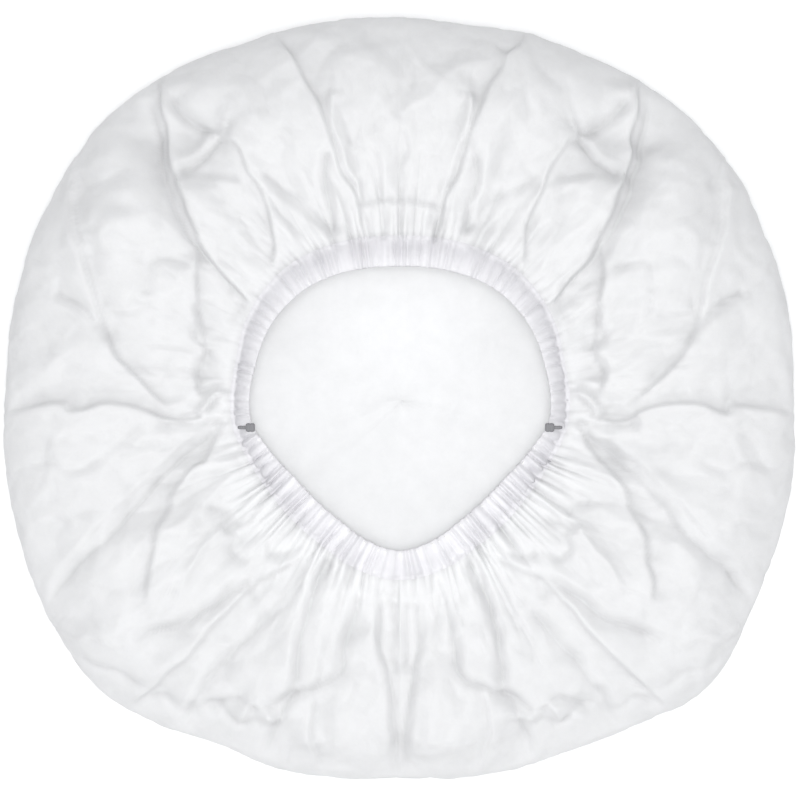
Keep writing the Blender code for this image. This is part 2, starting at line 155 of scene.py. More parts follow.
# Creases of the left half, mirrored on the right, each along a path of photograph pixels
CREASES = (
    # name, kind, height in mm, width to the left and right of its path in mm, path
    ("side_crease", "drop", 5.0, 12, 9,
     ((252, 422), (246, 411), (239, 403), (226, 398), (211, 409), (200, 417), (179, 420),
      (158, 412), (132, 402), (105, 402), (76, 411), (68, 404), (52, 404), (21, 411), (8, 410))),
    ("side_crease_twin", "valley", 2.4, 3, 4,
     ((236, 421), (218, 422), (200, 422), (179, 424), (160, 420))),
    ("bow_ridge", "ridge", 5.2, 2.6, 2.6,
     ((236, 404), (230, 397), (222, 394), (214, 398), (207, 406), (198, 413))),
    ("bow_foot", "valley", 2.4, 2.2, 2.2,
     ((232, 410), (223, 403), (214, 408), (206, 416))),
    ("sweep_crease", "drop", 5.0, 9, 12,
     ((226, 420), (216, 433), (203, 459), (195, 464), (174, 490), (171, 506), (158, 530),
      (153, 564), (150, 590), (155, 602))),
    ("sweep_long", "valley", 3.2, 3, 8,
     ((226, 420), (210, 438), (190, 454), (158, 485), (126, 522), (105, 543), (79, 564), (55, 590),
      (48, 606))),
    ("sweep_outer", "step", 1.6, 12, 8,
     ((206, 430), (158, 469), (105, 522), (63, 569), (46, 590))),
    ("corner_crease", "valley", 4.0, 3, 10,
     ((263, 577), (232, 590), (210, 606), (184, 622), (158, 630), (138, 640))),
    ("corner_ridge", "step", 5.2, 16, 16,
     ((310, 554), (263, 577), (237, 601), (210, 633), (174, 669), (139, 701), (126, 714))),
    ("corner_low", "valley", 3.0, 3, 11,
     ((276, 600), (250, 632), (222, 664), (196, 700), (180, 728))),
    ("corner_nick", "valley", 1.7, 2.2, 5,
     ((226, 519), (237, 533), (234, 548), (250, 562))),
    ("corner_twig", "valley", 1.5, 2.2, 4,
     ((206, 503), (226, 506), (237, 520), (258, 519))),
    ("corner_panel", "ridge", 2.6, 5, 9,
     ((226, 522), (210, 543), (195, 562), (179, 590))),
    ("hem_nick", "valley", 1.6, 2.2, 4,
     ((238, 440), (240, 452), (247, 474))),
    ("hem_under", "valley", 1.8, 2.5, 5,
     ((262, 552), (285, 553), (304, 546), (316, 536))),
    ("front_side", "valley", 4.6, 3, 9,
     ((337, 545), (326, 565), (316, 590), (303, 633), (297, 680), (296, 700))),
    ("front_pinch", "valley", 4.0, 3, 11,
     ((363, 580), (354, 606), (347, 633), (342, 669), (316, 685), (290, 696), (279, 717),
      (264, 759))),
    ("front_panel", "step", 3.0, 9, 9,
     ((318, 684), (311, 717), (316, 748), (321, 770))),
    ("front_crumple", "valley", 2.8, 2.5, 5,
     ((200, 716), (237, 696), (263, 706), (296, 690))),
    ("front_crumple_low", "ridge", 2.4, 2.5, 4,
     ((236, 726), (252, 700), (276, 716), (300, 706))),
    ("rim_crinkle", "valley", 1.6, 2.2, 4,
     ((78, 652), (98, 664), (118, 668), (140, 684), (166, 684))),
    ("rim_crinkle_low", "valley", 1.8, 2.2, 5,
     ((140, 706), (164, 700), (188, 714), (212, 704), (238, 722), (262, 716))),
    ("rim_crinkle_up", "ridge", 1.8, 2.2, 4,
     ((60, 620), (84, 632), (104, 628), (128, 646))),
    ("side_crinkle", "valley", 0.9, 2.2, 4,
     ((30, 470), (52, 462), (78, 470), (104, 458))),
    ("side_crinkle_low", "ridge", 0.9, 2.2, 4,
     ((34, 520), (60, 512), (84, 522))),
    ("front_box_left", "valley", 3.2, 2.5, 10,
     ((383, 590), (381, 625), (387, 670), (396, 725), (399, 778))),
    ("front_box_rib", "valley", 1.8, 2, 3,
     ((393, 596), (392, 630), (395, 670))),
    ("petal_crease", "step", 8.0, 18, 20,
     ((268, 322), (245, 300), (219, 270), (204, 250), (196, 230), (185, 205), (175, 180),
      (168, 160), (163, 110), (160, 80))),
    ("petal_trough", "valley", 4.6, 7, 9,
     ((250, 308), (228, 282), (207, 258), (190, 234), (176, 206), (162, 172), (150, 122),
      (146, 96))),
    ("petal_drop", "step", 5.4, 9, 9,
     ((201, 246), (200, 270), (202, 300), (204, 332), (206, 358), (198, 380), (206, 400))),
    ("petal_edge", "step", 5.6, 14, 18,
     ((272, 300), (274, 270), (275, 245), (265, 204), (245, 163), (224, 135))),
    ("petal_panel", "step", 1.8, 9, 9,
     ((182, 182), (206, 178), (232, 182), (248, 186))),
    ("pocket_top", "valley", 4.2, 3, 10,
     ((173, 97), (185, 116), (205, 128), (222, 135))),
    ("pocket_foot", "valley", 4.6, 3, 9,
     ((222, 136), (206, 162), (178, 178))),
    ("side_fold", "step", 5.4, 14, 12,
     ((76, 160), (79, 214), (88, 250), (97, 286), (107, 326), (122, 357), (140, 376), (158, 393),
      (176, 408))),
    ("side_facet", "valley", 2.6, 2.5, 8,
     ((51, 291), (72, 300), (92, 311), (107, 330), (117, 347))),
    ("side_facet_low", "ridge", 1.6, 2.5, 8,
     ((107, 308), (130, 312), (152, 305))),
    ("side_facet_high", "valley", 1.5, 2.5, 6,
     ((152, 300), (150, 280), (158, 262), (196, 268))),
    ("side_zigzag", "valley", 2.8, 2.2, 5,
     ((196, 300), (204, 318), (198, 336), (208, 352), (199, 368), (206, 384))),
    ("back_crease", "step", 5.4, 12, 9,
     ((276, 38), (292, 60), (306, 82), (316, 100), (326, 122), (334, 150), (346, 180), (357, 206),
      (362, 236))),
    ("back_ridge", "ridge", 3.8, 2.5, 6,
     ((332, 92), (334, 130), (346, 160), (356, 190), (358, 206))),
    ("back_small", "valley", 3.2, 2.2, 5,
     ((328, 150), (326, 170), (327, 190), (331, 219), (337, 240))),
    ("back_light", "valley", 2.4, 3, 10,
     ((260, 173), (284, 190), (306, 204), (326, 224), (340, 240))),
    ("back_cross", "step", 2.2, 3, 9,
     ((360, 209), (375, 206), (390, 204), (410, 204))),
    ("back_middle", "valley", 0.9, 2.5, 6,
     ((399, 40), (399, 90), (399, 140), (399, 196))),
)

GATHERS = (
    # degrees, how far they reach, how strong the wider ones are, height of the hem's pleats in mm
    (-90, 0.9, 0.9, 2.6),
    (-60, 1.2, 1.0, 3.4),
    (-30, 1.2, 0.8, 3.6),
    (-5, 0.5, 0.3, 1.8),
    (10, 0.4, 0.3, 1.4),
    (40, 0.7, 0.5, 1.6),
    (65, 1.1, 0.9, 2.0),
    (90, 1.4, 1.1, 2.2),
)
# How much wider and deeper all creases are than their rows say
CREASE_SPREAD = 1.2
CREASE_SIZE = 1.22

# Metres of cloth for one unit of place near the hem
CLOTH_RUN = 0.085

FACETS = (
    # size in metres, height in metres, seed
    (0.040, 0.0028, 31),
    (0.021, 0.0017, 33),
    (0.010, 0.0007, 37),
)

# Tones of the crown and the hem, and the share of light that passes through each; the crown's
# middle gets painted light, and the hem's tone is a painted lighter copy of the same cloth
CROWN_TONE = (0.765, 0.766, 0.771)
CROWN_CLEAR = 0.30
# Painted light: the crown's colour is raised by this factor towards the cloth's middle, so the sole
# seen through the mouth shows brighter
CROWN_PAINTED_MIDDLE_LIGHT = 1.14
# Painted light: the hem is the same nonwoven as the crown, given a lighter tone of its own to set
# how bright it shows
HEM_PAINTED_LIGHTER_TONE = (0.835, 0.828, 0.85)
HEM_CLEAR = 0.34
ELASTIC_TONE = (0.80, 0.80, 0.79)
KNOT_TONE = (0.17, 0.17, 0.18)

# Soft swells of the left half, mirrored on the right
SWELLS = (
    # name, middle in photograph pixels, size across and along in mm, height in mm
    ("front_bulge", (372, 700), 14, 30, 2.6),
    ("sweep_bulge", (135, 545), 16, 24, 2.6),
    ("corner_bulge", (215, 545), 22, 18, 1.8),
    ("side_bulge", (90, 470), 22, 18, 1.6),
    ("side_high_bulge", (140, 240), 18, 26, 2.2),
    ("petal_bulge", (235, 220), 12, 26, 2.4),
    ("back_bulge", (290, 130), 16, 24, 2.2),
    ("front_side_bulge", (318, 620), 6, 16, 1.6),
    ("back_panel", (399, 130), 16, 26, 1.2),
    ("petal_pocket", (190, 136), 8, 9, -9.0),
    ("petal_hollow", (150, 140), 9, 18, -5.0),
    ("side_hollow", (62, 190), 10, 12, -2.2),
    ("low_bulge", (110, 640), 16, 14, 2.0),
    ("low_hollow", (240, 735), 16, 10, -2.4),
    ("knot_hollow", (232, 440), 5, 6, -2.0),
)


def hermite(table, here, column, rounded=True):
    """Smooth curve through a table's column, with level ends, for an array of places."""
    xs = np.array([row[0] for row in table], float)
    ys = np.array([row[column] for row in table], float)
    slopes = np.zeros_like(ys)
    slopes[1:-1] = (ys[2:] - ys[:-2]) / (xs[2:] - xs[:-2])
    if rounded:
        steps = np.diff(ys) / np.diff(xs)
        turn = steps[:-1] * steps[1:] <= 0
        slopes[1:-1] = np.where(turn, 0.0, slopes[1:-1])
    k = np.clip(np.searchsorted(xs, here, side="right") - 1, 0, len(xs) - 2)
    span = xs[k + 1] - xs[k]
    t = np.clip((here - xs[k]) / span, 0.0, 1.0)
    a, b = 2 * t**3 - 3 * t**2 + 1, t**3 - 2 * t**2 + t
    c, d = 3 * t**2 - 2 * t**3, t**3 - t**2
    return a * ys[k] + b * span * slopes[k] + c * ys[k + 1] + d * span * slopes[k + 1]


def half_angle(turn):
    """Side (1 right, -1 left) and angle in the right half for a turn of 0 to 1 from the front."""
    turn = np.mod(turn, 1.0)
    side = np.where(turn <= 0.5, 1.0, -1.0)
    folded = np.where(turn <= 0.5, turn, 1.0 - turn)
    return side, -90.0 + 360.0 * folded


def mouth_plan(degrees):
    share = hermite(MOUTH, degrees, 1, False)
    angle = np.radians(degrees)
    x = share * MOUTH_WIDTH / 2 * np.cos(angle)
    y = MOUTH_SHIFT + share * MOUTH_LENGTH / 2 * np.sin(angle)
    return x, y


def even_mouth():
    """Angles of the right half of the mouth at even steps along its edge."""
    degrees = np.linspace(-90, 90, 1441)
    x, y = mouth_plan(degrees)
    along = np.concatenate([[0.0], np.cumsum(np.hypot(np.diff(x), np.diff(y)))])
    return along / along[-1], degrees


ALONG_SHARE, ALONG_DEGREES = even_mouth()


def mouth_angle(turn):
    """Side and mouth angle for a turn that runs evenly along the mouth's edge."""
    side, plain = half_angle(turn)
    return side, np.interp((plain + 90) / 180, ALONG_SHARE, ALONG_DEGREES)


def hem_frame(turn):
    """Edge point, direction out along the hem and direction up through it, for each turn."""
    side, degrees = mouth_angle(turn)
    step = 0.4
    ahead, behind = np.minimum(degrees + step, 90), np.maximum(degrees - step, -90)
    ax, ay = mouth_plan(ahead)
    bx, by = mouth_plan(behind)
    run_x, run_y = ax - bx, ay - by
    run_y = np.where(np.abs(degrees) > 89.6, 0.0, run_y)
    size = np.hypot(run_x, run_y)
    run_x, run_y = run_x / size, run_y / size
    seen = hermite(MOUTH, degrees, 2)
    drop = np.sqrt(1 - seen**2)
    x, y = mouth_plan(degrees)
    z = CAP_HEIGHT - 0.0030 - hermite(MOUTH, degrees, 3) * CAP_HEIGHT
    edge = np.stack([side * x, y, z], -1)
    out = np.stack([side * run_y * seen, -run_x * seen, -drop], -1)
    up = np.stack([side * run_y * drop, -run_x * drop, seen], -1)
    return edge, out, up


def rim_plan(side, degrees):
    share = hermite(OUTLINE, degrees, 1, False)
    angle = np.radians(degrees)
    return share * CAP_WIDTH / 2 * np.cos(angle) * side, share * CAP_LENGTH / 2 * np.sin(angle)


def base_point(turn, place):
    """The smooth cap without folds."""
    edge, out, _ = hem_frame(turn)
    root = edge + out * HEM_WIDTH
    side, degrees = half_angle(turn)
    start = np.degrees(np.arctan2(root[..., 1], side * root[..., 0]))
    reach = hermite(MERIDIAN, place, 2)
    blend = np.clip(reach, 0, 1) ** 0.8
    here = np.where(place >= RIM_PLACE, degrees, start + (degrees - start) * blend)
    hub = np.hypot(root[..., 0], root[..., 1])
    rim_x, rim_y = rim_plan(side, here)
    rim = np.hypot(rim_x, rim_y)
    near = hermite(MERIDIAN, place, 1)
    radius = hub * near + rim * reach
    angle = np.radians(here)
    height = hermite(MERIDIAN, place, 3) * CAP_HEIGHT
    height = height + (root[..., 2] - MERIDIAN[0][3] * CAP_HEIGHT) * near**1.5
    return np.stack([side * radius * np.cos(angle), radius * np.sin(angle), height], -1)


def noise(points, seed):
    """Smooth noise between -1 and 1 from hashed lattice gradients, for an array of 3-D points."""
    cell = np.floor(points).astype(np.int64)
    local = points - cell
    fade = local**3 * (local * (local * 6 - 15) + 10)
    total = np.zeros(points.shape[:-1])
    for corner in range(8):
        offset = np.array([corner & 1, (corner >> 1) & 1, (corner >> 2) & 1])
        at = cell + offset
        mixed = (at[..., 0] * 73856093) ^ (at[..., 1] * 19349663)
        mixed = mixed ^ (at[..., 2] * 83492791) ^ (seed * 2654435761)
        mixed = (mixed ^ (mixed >> 13)) * 1274126177
        mixed = (mixed ^ (mixed >> 16)) & 0xFFFF
        turn = mixed * (2 * math.pi / 65536)
        lift = ((mixed * 40503) & 0xFFFF) / 32768.0 - 1.0
        flat = np.sqrt(1 - lift**2)
        away = local - offset
        slope = away[..., 0] * np.cos(turn) * flat + away[..., 1] * np.sin(turn) * flat
        slope = slope + away[..., 2] * lift
        weight = np.ones(points.shape[:-1])
        for k in range(3):
            weight = weight * np.where(offset[k] == 1, fade[..., k], 1 - fade[..., k])
        total += slope * weight
    return total * 1.6


def lattice_height(i, j, seed):
    """A repeatable height from -1 to 1 for each point of a lattice."""
    mixed = (i * 73856093) ^ (j * 19349663) ^ (seed * 2654435761)
    mixed = (mixed ^ (mixed >> 13)) * 1274126177
    mixed = (mixed ^ (mixed >> 16)) & 0xFFFF
    return mixed / 32767.5 - 1.0


def facets(turn, place, size, seed):
    """Flat three-cornered facets with sharp edges, as in crumpled nonwoven, from -1 to 1."""
    spread = FLAT_RADIUS * (1 - place / LAST_PLACE)
    angle = 2 * math.pi * turn + seed
    x, y = spread * np.cos(angle) / size, spread * np.sin(angle) / size
    where = np.stack([x * 0.8, y * 0.8, np.zeros_like(x)], -1)
    x = x + noise(where, seed) * 0.55
    y = y + noise(where + 9.7, seed + 1) * 0.55
    i, j = np.floor(x).astype(np.int64), np.floor(y).astype(np.int64)
    u, v = x - i, y - j
    a, b = lattice_height(i, j, seed), lattice_height(i + 1, j, seed)
    c, d = lattice_height(i, j + 1, seed), lattice_height(i + 1, j + 1, seed)
    rising = lattice_height(i, j, seed + 7) > 0
    one = np.where(u > v, a + (b - a) * u + (d - b) * v, a + (d - c) * u + (c - a) * v)
    beyond = d + (c - d) * (1 - u) + (b - d) * (1 - v)
    two = np.where(u + v < 1, a + (b - a) * u + (c - a) * v, beyond)
    return np.where(rising, one, two)


def smooth_path(pixels):
    """A photograph path in metres of the right half, with more points on a smooth curve."""
    middle_u, middle_v = PHOTO_MIDDLE
    points = np.array([((middle_u - u) * PIXEL, (middle_v - v) * PIXEL) for u, v in pixels])
    ends = np.vstack([2 * points[0] - points[1], points, 2 * points[-1] - points[-2]])
    dense = []
    for k in range(1, len(ends) - 2):
        a, b, c, d = ends[k - 1:k + 3]
        for t in np.linspace(0, 1, 5)[:-1]:
            dense.append(0.5 * (2 * b + (c - a) * t + (2 * a - 5 * b + 4 * c - d) * t**2
                                + (3 * b - a - 3 * c + d) * t**3))
    dense.append(points[-1])
    return np.array(dense)


def path_distance(x, y, path):
    """Signed distance to a path, positive on its left, and the share of the way along it."""
    best = np.full(x.shape, 1e9)
    signed = np.zeros(x.shape)
    share = np.zeros(x.shape)
    steps = np.hypot(*np.diff(path, axis=0).T)
    total = steps.sum()
    passed = 0.0
    for (ax, ay), (bx, by), size in zip(path, path[1:], steps):
        dx, dy = bx - ax, by - ay
        t = np.clip(((x - ax) * dx + (y - ay) * dy) / size**2, 0, 1)
        ox, oy = x - ax - t * dx, y - ay - t * dy
        far = np.hypot(ox, oy)
        nearer = far < best
        best = np.where(nearer, far, best)
        signed = np.where(nearer, np.where(dx * oy - dy * ox >= 0, far, -far), signed)
        share = np.where(nearer, (passed + t * size) / total, share)
        passed += size
    return signed, share


def crease_height(x, y):
    """Height of all creases and swells at plan positions of the right half."""
    total = np.zeros(x.shape)
    for _, kind, height, left, right, pixels in CREASES:
        signed, share = path_distance(x, y, smooth_path(pixels))
        width = np.where(signed >= 0, left, right) * 0.001 * CREASE_SPREAD
        soft = np.sqrt(signed**2 + 0.0005**2) - 0.0005
        taper = np.clip(share / 0.10, 0.35, 1) * np.clip((1 - share) / 0.15, 0, 1) ** 0.7
        fall = np.clip(1 - soft / width, 0, 1) ** 1.35
        size = height * 0.001 * taper * CREASE_SIZE
        if kind == "valley":
            total -= size * fall * 0.55 + size * 0.35 * np.exp(-soft / 0.0016)
        elif kind == "ridge":
            total += size * fall * 0.5 + size * 0.35 * np.exp(-soft / 0.0015)
        else:
            upper = signed if kind == "step" else -signed
            foot = 0.0007 + 0.00030 * height
            edge = np.where(upper >= 0, np.tanh(upper / 0.0008), np.tanh(upper / foot))
            total += size * 0.42 * fall * edge - size * 0.08 * np.exp(-soft / 0.0009)
    for _, (u, v), across, along, height in SWELLS:
        px, py = (PHOTO_MIDDLE[0] - u) * PIXEL, (PHOTO_MIDDLE[1] - v) * PIXEL
        radial = math.atan2(py, px)
        dx, dy = x - px, y - py
        a = (dx * math.cos(radial) + dy * math.sin(radial)) / (along * 0.001)
        b = (-dx * math.sin(radial) + dy * math.cos(radial)) / (across * 0.001)
        total += height * 0.001 * np.exp(-(a**2 + b**2))
    return total


def pleat_wave(turn, count, seed):
    """Uneven gathers round the mouth with rounded tops and sharp valleys, between 0 and 1."""
    angle = 2 * math.pi * turn
    ring = np.stack([np.cos(angle), np.sin(angle), np.zeros_like(turn)], -1)
    wander = noise(ring * count / 14.0 + 3.1, seed) * 0.9
    wander = wander + noise(ring * count / 5.0, seed + 5) * 0.25
    phase = count * turn + wander
    size = 0.72 + 0.55 * noise(ring * count / 4.0 + 11.7, seed + 9)
    return np.abs(np.sin(math.pi * phase)) ** 0.75 * np.clip(size, 0.25, 1.4)


def gather_height(turn, out):
    """Fine gathers at the hem that merge into wider ones, for a distance out from the hem."""
    _, degrees = half_angle(turn)
    reach = hermite(GATHERS, degrees, 1)
    strength = hermite(GATHERS, degrees, 2)
    fine = hem_pleats(turn) * np.exp(-(out / (0.007 * reach)) ** 1.4)
    medium = (pleat_wave(turn, PLEATS * 0.5, 2) - 0.5) * 0.0036
    medium = medium * np.exp(-(out / (0.014 * reach)) ** 1.6)
    medium = medium * (1 - np.exp(-out / 0.003)) * strength
    wide = (pleat_wave(turn, PLEATS * 0.2, 3) - 0.5) * 0.0042 * np.exp(-out / (0.022 * reach))
    wide = wide * (1 - np.exp(-out / 0.006)) * strength
    return fine + medium + wide


def cloth_height(turn, place, base, share):
    """How far the cloth stands out of the smooth cap; share is how much of the creases it has."""
    x, y = base[..., 0], base[..., 1]
    on_top = 1 - smooth_step(place, 0.90, 1.10)
    warp = np.stack([noise(base / 0.011, 21), noise(base / 0.011, 22)], -1) * 0.0012
    creases = crease_height(np.abs(x) + warp[..., 0], y + warp[..., 1]) * share
    away_from_hem = smooth_step(place, 0.02, 0.16)
    near_the_hem = smooth_step(place, 0.036, 0.080)
    out = place * CLOTH_RUN
    gathers = gather_height(turn, out)
    paper = sum(facets(turn, place, size, seed) * height for size, height, seed in FACETS)
    paper *= 1 - 0.7 * np.exp(-((place - RIM_PLACE) / 0.12) ** 2)
    fine = noise(base / 0.006, 35) * 0.00018 + noise(base / 0.0032, 36) * 0.00009
    streaks = radial_streaks(turn, place) * 0.0006
    top = on_top * (creases * near_the_hem + gathers) + paper * away_from_hem
    top = top + fine + streaks * on_top
    rim = scallops(turn) * np.exp(-((place - 1.02) / 0.16) ** 2)
    under = smooth_step(place, 1.15, 1.32)
    return top * (1 - under) + rim * (1 - under)


def radial_streaks(turn, place):
    """Long shallow wrinkles that run from the hem to the rim."""
    angle = 2 * math.pi * turn
    ring = np.stack([np.cos(angle) * 9, np.sin(angle) * 9, place * 1.4], -1)
    return noise(ring, 41) + 0.6 * noise(ring * 2.1, 42)


def scallops(turn):
    angle = 2 * math.pi * turn
    ring = np.stack([np.cos(angle) * 3.2, np.sin(angle) * 3.2, np.zeros_like(angle)], -1)
    return noise(ring, 45) * 0.0010 + noise(ring * 3, 46) * 0.0003


def smooth_step(value, low, high):
    t = np.clip((value - low) / (high - low), 0, 1)
    return t * t * (3 - 2 * t)


def cloth_points(turn, place, share=1.0):
    """The cloth's middle surface for arrays of turns and places."""
    base = base_point(turn, place)
    step = 1e-3
    below = np.minimum(place + step, LAST_PLACE - 0.02)
    above = np.maximum(place - step, 0)
    along = base_point(turn + step, place) - base_point(turn - step, place)
    down = base_point(turn, below) - base_point(turn, above)
    normal = np.cross(down, along)
    normal = normal / np.maximum(np.linalg.norm(normal, axis=-1, keepdims=True), 1e-12)
    sole = smooth_step(place, SOLE_PLACE - 0.04, SOLE_PLACE)[..., None]
    normal = normal * (1 - sole) + np.array([0.0, 0.0, -1.0]) * sole
    points = base + normal * cloth_height(turn, place, base, share)[..., None]
    points[..., 2] += sole_wrinkles(turn, place)
    points[..., 2] = np.maximum(points[..., 2], CLOTH_REST)
    return points


def sole_wrinkles(turn, place):
    """Wrinkles of the cloth that lies on the surface, which only rise from it."""
    on_sole = smooth_step(place, 1.12, 1.30)
    folds = np.maximum(facets(turn, place, 0.050, 51) - 0.05, 0) * 0.0042
    small = np.maximum(facets(turn, place, 0.022, 53), 0) * 0.0014
    return on_sole * (folds + small)


def cloth_rings():
    """Rows of the cloth: how many columns each has, and its place."""
    rings = []
    rings += [(960, p) for p in np.linspace(0.0, 1.11, 84, endpoint=False)]
    rings += [(480, p) for p in np.linspace(1.11, SOLE_PLACE, 14, endpoint=False)]
    rings += [(240, p) for p in np.linspace(SOLE_PLACE, 1.80, 14, endpoint=False)]
    rings += [(120, p) for p in np.linspace(1.80, LAST_PLACE, 9, endpoint=False)]
    return rings


def cut_edge(count):
    """The cloth's cut edge inside the hem, which zigzags with the pleats."""
    turn = np.arange(count) / count
    edge, out, up = hem_frame(turn)
    pleats = hem_pleats(turn)
    reach = HEM_WIDTH * 0.90 + EDGE_ZIGZAG * np.sin(2 * math.pi * PLEATS * turn)
    return edge + out * reach[:, None] + up * (pleats * 1.15)[:, None]


def ring_faces(first, count, second, after):
    faces = []
    if count == after:
        for k in range(count):
            n = (k + 1) % count
            faces.append((first + k, second + k, second + n, first + n))
        return faces
    for k in range(after):
        a, b, c = first + 2 * k, first + 2 * k + 1, first + (2 * k + 2) % count
        d, e = second + k, second + (k + 1) % after
        faces += [(a, d, b), (b, d, e), (b, e, c)]
    return faces


def mesh_object(name, points, faces):
    mesh = bpy.data.meshes.new(name)
    mesh.from_pydata([tuple(p) for p in points], [], faces)
    mesh.validate()
    mesh.update()
    mesh.shade_smooth()
    thing = bpy.data.objects.new(name, mesh)
    bpy.context.scene.collection.objects.link(thing)
    return thing


def start_of_settling():
    """The cloth's own mesh before its simulation: rows of places and one column for every turn."""
    places = np.concatenate([np.linspace(0.0, SOLE_PLACE, SIM_ROWS, endpoint=False),
                             np.linspace(SOLE_PLACE, 2.0, SIM_SOLE_ROWS)])
    turns = np.arange(SIM_COLUMNS) / SIM_COLUMNS
    turn, place = np.meshgrid(turns, places)
    return turns, places, cloth_points(turn, place, SIM_CREASES)


def let_cloth_settle():
    """How far each point moves when cloth a little too large for the folded shape finds room."""
    turns, places, start = start_of_settling()
    rows, columns = len(places), len(turns)
    faces = []
    for j in range(rows - 1):
        for k in range(columns):
            n = (k + 1) % columns
            here, below = j * columns, (j + 1) * columns
            faces.append((here + k, below + k, below + n, here + n))
    body = mesh_object("settling_cloth", start.reshape(-1, 3), faces)
    held = body.vertex_groups.new(name="held")
    slack = body.vertex_groups.new(name="slack")
    for j, place in enumerate(places):
        row = list(range(j * columns, (j + 1) * columns))
        near_hem = 1 - float(smooth_step(place, 0.0, 0.06))
        on_sole = float(smooth_step(place, 1.10, 1.34))
        held.add(row, max(near_hem, on_sole, SIM_HOLD), "REPLACE")
        slack.add(row, float(math.exp(-place / 0.35)), "REPLACE")
    cloth = body.modifiers.new("settle", "CLOTH")
    settings = cloth.settings
    settings.quality = 5
    settings.mass = 0.02
    settings.tension_stiffness = 25
    settings.compression_stiffness = 25
    settings.shear_stiffness = 12
    settings.bending_stiffness = 0.03
    settings.tension_damping = 5
    settings.compression_damping = 5
    settings.shear_damping = 5
    settings.bending_damping = 0.5
    settings.vertex_group_mass = "held"
    settings.pin_stiffness = 1.0
    settings.vertex_group_shrink = "slack"
    settings.shrink_min = -SIM_GROWTH_RIM
    settings.shrink_max = -SIM_GROWTH_HEM
    settings.effector_weights.gravity = 0.0
    cloth.collision_settings.use_collision = False
    cloth.collision_settings.use_self_collision = False
    scene = bpy.context.scene
    cloth.point_cache.frame_start = 1
    cloth.point_cache.frame_end = SIM_FRAMES
    for number in range(1, SIM_FRAMES + 1):
        scene.frame_set(number)
    seen = body.evaluated_get(bpy.context.evaluated_depsgraph_get())
    moved = np.empty(rows * columns * 3)
    seen.data.vertices.foreach_get("co", moved)
    moved = moved.reshape(rows, columns, 3) - start
    scene.frame_set(1)
    bpy.data.objects.remove(body, do_unlink=True)
    return places, moved


def settled_shift(turn, place, places, moved):
    """The simulated movement at any turn and place, between the simulated points."""
    rows, columns = moved.shape[:2]
    across = np.mod(turn, 1.0) * columns
    k = np.floor(across).astype(int)
    u = (across - k)[..., None]
    j = np.clip(np.searchsorted(places, place, side="right") - 1, 0, rows - 2)
    v = np.clip((place - places[j]) / (places[j + 1] - places[j]), 0, 1)[..., None]
    n = (k + 1) % columns
    k = k % columns
    low = moved[j, k] * (1 - u) + moved[j, n] * u
    high = moved[j + 1, k] * (1 - u) + moved[j + 1, n] * u
    return low * (1 - v) + high * v


def settled_points(turn, place, settled):
    """The cloth's points with the simulated movement."""
    points = cloth_points(turn, place) + settled_shift(turn, place, *settled)
    points[..., 2] = np.maximum(points[..., 2], CLOTH_REST)
    return points


def flat_ring(radius, count):
    """Places of a row's points in the cloth when it lies flat."""
    angles = [2 * math.pi * (k / count) for k in range(count)]
    return [(radius * math.cos(angle), radius * math.sin(angle)) for angle in angles]


def make_cloth(settled):
    rings = cloth_rings()
    points, flat, faces = [], [], []
    starts = []
    first_count = rings[0][0]
    points += list(cut_edge(first_count))
    flat += flat_ring(FLAT_RADIUS * 1.01, first_count)
    for count, place in rings:
        turn = np.arange(count) / count
        starts.append(len(points))
        points += list(settled_points(turn, np.full(count, place), settled))
        flat += flat_ring(FLAT_RADIUS * (1 - place / LAST_PLACE), count)
    faces += ring_faces(0, first_count, starts[0], first_count)
    for k in range(len(rings) - 1):
        faces += ring_faces(starts[k], rings[k][0], starts[k + 1], rings[k + 1][0])
    hub = len(points)
    points.append(np.mean(points[starts[-1]:], axis=0))
    flat.append((0.0, 0.0))
    last, count = starts[-1], rings[-1][0]
    faces += [(last + k, hub, last + (k + 1) % count) for k in range(count)]
    cloth = mesh_object("crown_cloth", points, faces)
    layer = cloth.data.uv_layers.new(name="cloth")
    for loop in cloth.data.loops:
        layer.data[loop.index].uv = flat[loop.vertex_index]
    return cloth


HEM_SECTION = (
    # reach from the folded edge as a share of the hem's width, lift in metres, share of the pleats
    (0.88, 0.0006, 1.00),
    (0.76, 0.0009, 1.05),
    (0.62, 0.0012, 1.10),
    (0.44, 0.0013, 1.10),
    (0.27, 0.0011, 1.00),
    (0.12, 0.0007, 0.90),
    (0.03, 0.0003, 0.70),
    (0.00, 0.0000, 0.50),
    (0.05, -0.0005, 0.40),
    (0.25, -0.0012, 0.60),
    (0.50, -0.0013, 0.70),
    (0.75, -0.0010, 0.80),
    (0.98, -0.0006, 0.90),
)

# The elastic's room on each side, its reach as shares of the hem's width, its thickness, the
# zigzag of the cloth's cut edge, and the knot's share of an elastic end
ELASTIC_ROOM = 0.0004
ELASTIC_REACH = (0.09, 0.40)
ELASTIC_THICKNESS = 0.00036
EDGE_ZIGZAG = 0.0008
KNOT_SHARE = 0.54

HEM_TUCK = (
    # place on the crown's cloth along which the hem's outer edge runs, and how far under it
    (0.004, -0.00032),
    (0.016, -0.00022),
    (0.030, -0.00006),
    (0.044, 0.0004),
)


def hem_pleats(turn):
    """Pleats of the hem and of the cloth beside it, in metres through the cloth."""
    _, degrees = half_angle(turn)
    return (pleat_wave(turn, PLEATS, 1) - 0.5) * hermite(GATHERS, degrees, 3) * 0.001


